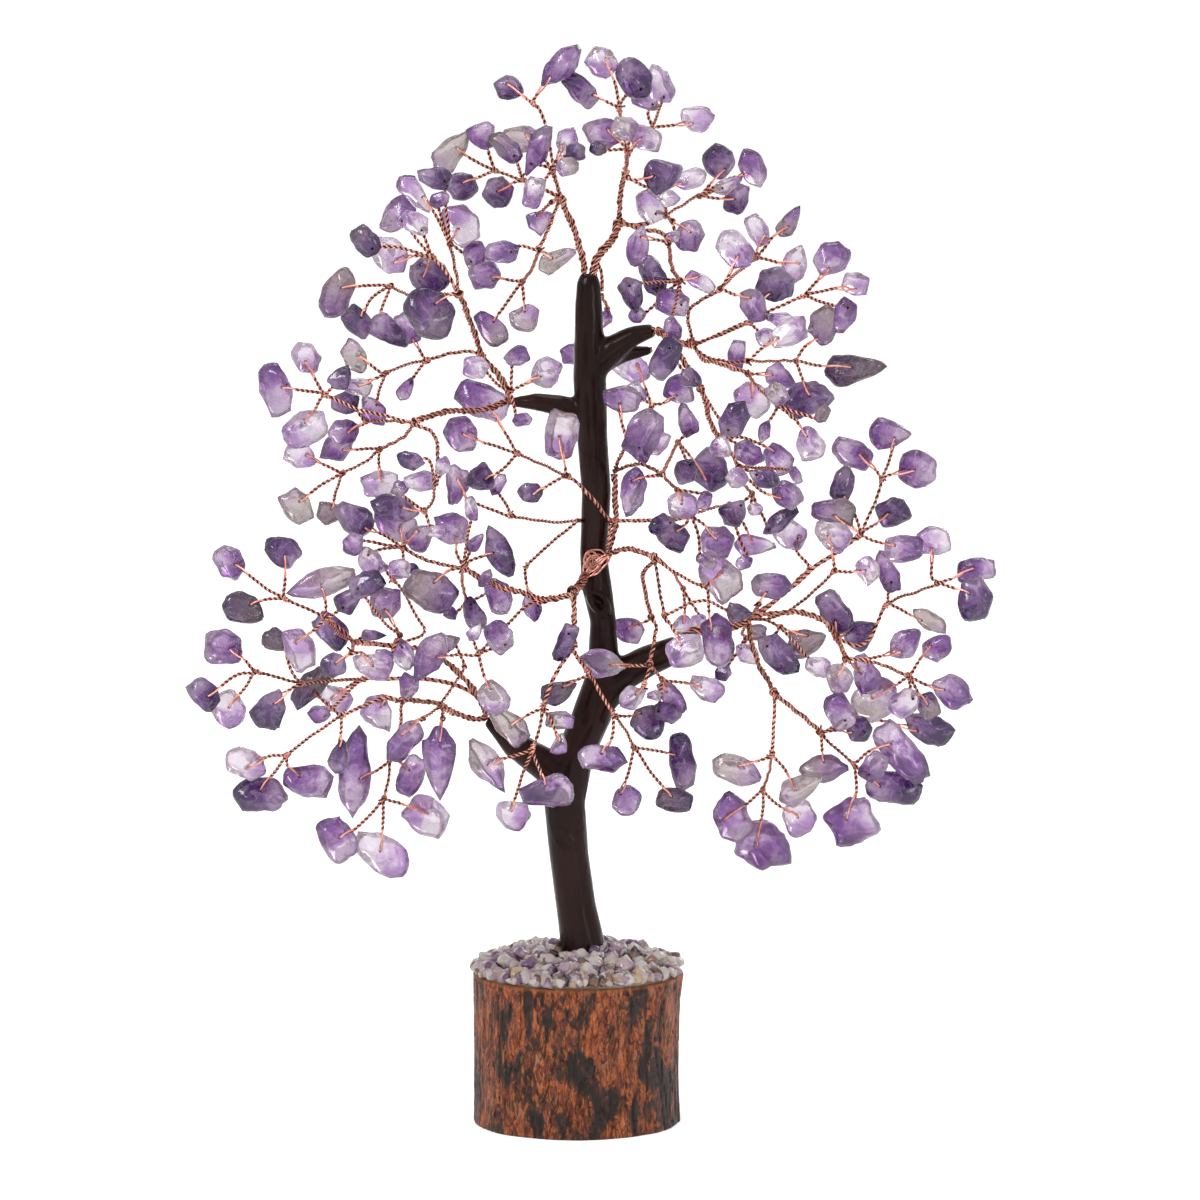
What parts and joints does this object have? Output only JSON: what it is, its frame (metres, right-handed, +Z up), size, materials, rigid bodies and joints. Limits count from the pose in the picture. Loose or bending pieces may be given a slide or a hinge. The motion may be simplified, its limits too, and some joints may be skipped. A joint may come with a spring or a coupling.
{
  "type": "gemstone tree ornament",
  "caption": "Ornamental tree of drilled amethyst chips on twisted copper wire, with a dark clay-coated trunk standing in crushed quartz on a round bark log.",
  "frame": {"origin": "centre of the log's flat underside, where it stands", "axes": "+Z up the trunk, +X to the viewer's right, -Y towards the viewer"},
  "size_m": [0.22, 0.1135, 0.2942],
  "materials": {
    "amethyst_deep": "tumbled, glossy, translucent deep violet quartz",
    "amethyst_violet": "tumbled, glossy, translucent mid violet quartz",
    "amethyst_pale": "tumbled, glossy, translucent lilac, smoky and clear quartz",
    "copper_wire": "bright drawn copper wire, slightly darkened",
    "brown_clay": "satin dark brown modelling clay with a soft shine",
    "bark_wood": "dry orange-brown bark with dark cracks over sawn wood",
    "clear_glue": "clear set resin",
    "quartz_clear": "crushed clear and white quartz",
    "quartz_lilac": "crushed lilac quartz",
    "quartz_violet": "crushed violet quartz",
    "quartz_dark": "crushed dark and brown grains"
  },
  "bodies": {
    "root": {"centre_right_chips_deep": "amethyst_deep", "centre_right_chips_pale": "amethyst_pale", "centre_right_chips_violet": "amethyst_violet", "centre_right_stems": "copper_wire", "centre_right_twigs": "copper_wire", "glue_bed": "clear_glue", "gravel_clear": "quartz_clear", "gravel_dark": "quartz_dark", "gravel_lilac": "quartz_lilac", "gravel_violet": "quartz_violet", "left_low_chips_deep": "amethyst_deep", "left_low_chips_pale": "amethyst_pale", "left_low_chips_violet": "amethyst_violet", "left_low_stems": "copper_wire", "left_low_twigs": "copper_wire", "log_base": "bark_wood", "lower_front_chips_deep": "amethyst_deep", "lower_front_chips_pale": "amethyst_pale", "lower_front_chips_violet": "amethyst_violet", "lower_front_stems": "copper_wire", "lower_front_twigs": "copper_wire", "lower_right_chips_deep": "amethyst_deep", "lower_right_chips_pale": "amethyst_pale", "lower_right_chips_violet": "amethyst_violet", "lower_right_stems": "copper_wire", "lower_right_twigs": "copper_wire", "mid_left_chips_deep": "amethyst_deep", "mid_left_chips_pale": "amethyst_pale", "mid_left_chips_violet": "amethyst_violet", "mid_left_stems": "copper_wire", "mid_left_twigs": "copper_wire", "root_glue": "clear_glue", "rosette_coil": "copper_wire", "tie_windings": "copper_wire", "top_left_chips_deep": "amethyst_deep", "top_left_chips_pale": "amethyst_pale", "top_left_chips_violet": "amethyst_violet", "top_left_stems": "copper_wire", "top_left_twigs": "copper_wire", "top_right_chips_deep": "amethyst_deep", "top_right_chips_pale": "amethyst_pale", "top_right_chips_violet": "amethyst_violet", "top_right_stems": "copper_wire", "top_right_twigs": "copper_wire", "trunk_clay": "brown_clay", "trunk_wire_core": "copper_wire", "trunk_wire_runs": "copper_wire", "upper_left_chips_deep": "amethyst_deep", "upper_left_chips_pale": "amethyst_pale", "upper_left_chips_violet": "amethyst_violet", "upper_left_stems": "copper_wire", "upper_left_twigs": "copper_wire", "upper_right_chips_deep": "amethyst_deep", "upper_right_chips_pale": "amethyst_pale", "upper_right_chips_violet": "amethyst_violet", "upper_right_stems": "copper_wire", "upper_right_twigs": "copper_wire"}
  },
  "joints": []
}
